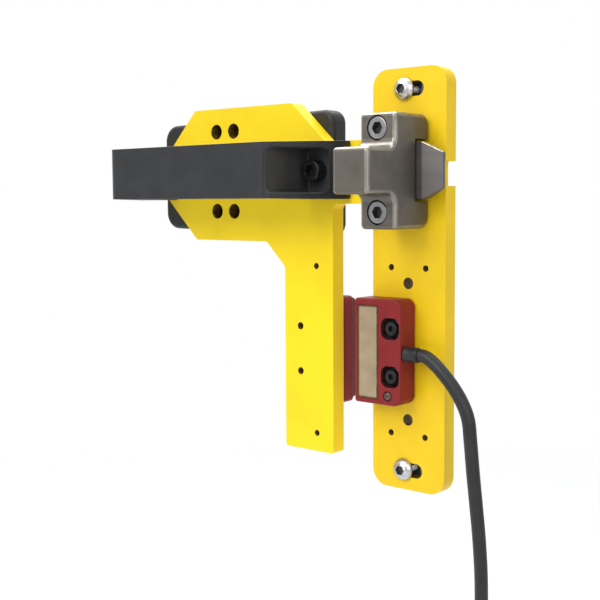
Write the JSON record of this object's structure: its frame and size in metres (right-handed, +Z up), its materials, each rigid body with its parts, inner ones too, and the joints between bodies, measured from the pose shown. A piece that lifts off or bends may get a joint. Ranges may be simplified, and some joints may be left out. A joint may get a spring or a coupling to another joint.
{
  "type": "safety gate bolt",
  "caption": "Sliding bolt for a guard gate: a yellow L-shaped plate with bridge handle pushes a tapered tongue through a keeper beside a coded sensor.",
  "frame": {"origin": "back face of the frame plate, on the plate's centreline, level with the bolt's axis", "axes": "+X from the gate towards the fixed frame, the way the bolt closes; +Y into the profiles; +Z up; the viewer stands at -Y"},
  "size_m": [0.2209, 0.0698, 0.351],
  "materials": {
    "yellow_paint": "yellow powder coat over flat steel plate",
    "cast_metal": "grey cast block with burnished edges",
    "tongue_steel": "bare dull steel bar",
    "bright_steel": "bright plated screws and ground pin",
    "black_oxide": "black oxide screws",
    "black_nylon": "fine-grained black moulding",
    "guide_black": "black moulded guide body",
    "acetal": "off-white low-friction runner",
    "sensor_red": "dark red moulded housing",
    "label_foil": "blank brownish foil label",
    "lens": "small unlit lens",
    "cable_black": "black cable jacket and moulded plug",
    "zinc": "zinc-plated steel"
  },
  "bodies": {
    "frame_side": {"back_plate_screw_bottom": "zinc", "back_plate_screw_top": "zinc", "blank_label": "label_foil", "frame_plate": "yellow_paint", "guide_back_plate": "zinc", "guide_body": "guide_black", "guide_nut_bottom": "zinc", "guide_nut_top": "zinc", "guide_screw_bottom": "zinc", "guide_screw_top": "zinc", "keeper_block": "cast_metal", "keeper_screw_bottom": "bright_steel", "keeper_screw_top": "bright_steel", "plate_nut_bottom": "zinc", "plate_nut_top": "zinc", "plate_screw_bottom": "bright_steel", "plate_screw_top": "bright_steel", "plug_body": "cable_black", "plug_nut": "zinc", "plug_pins": "zinc", "plunger_bush": "zinc", "plunger_spring": "zinc", "sensor_body": "sensor_red", "sensor_cable": "cable_black", "sensor_screw_bottom": "black_oxide", "sensor_screw_top": "black_oxide", "status_lens": "lens", "strain_relief": "cable_black"},
    "bolt": {"bolt_plate": "yellow_paint", "bolt_tongue": "tongue_steel", "tongue_screw_inner": "zinc", "tongue_screw_outer": "zinc", "handle": "black_nylon", "handle_screw_left": "black_oxide", "handle_screw_right": "black_oxide", "carriage": "acetal", "carriage_screw_left": "zinc", "carriage_screw_right": "zinc", "actuator": "sensor_red", "actuator_screw_top": "zinc", "actuator_screw_bottom": "zinc"},
    "plunger": {"plunger_pin": "bright_steel"}
  },
  "joints": [
    {"name": "bolt_slide", "type": "slide", "parent": "frame_side", "child": "bolt", "axis": [-1, 0, 0], "range_m": [0, 0.036]},
    {"name": "plunger_press", "type": "slide", "parent": "frame_side", "child": "plunger", "axis": [0, -1, 0], "range_m": [0, 0.0015], "stiffness_N_per_m": 3000, "springref_m": -0.002, "deforming": ["plunger_spring"]}
  ]
}
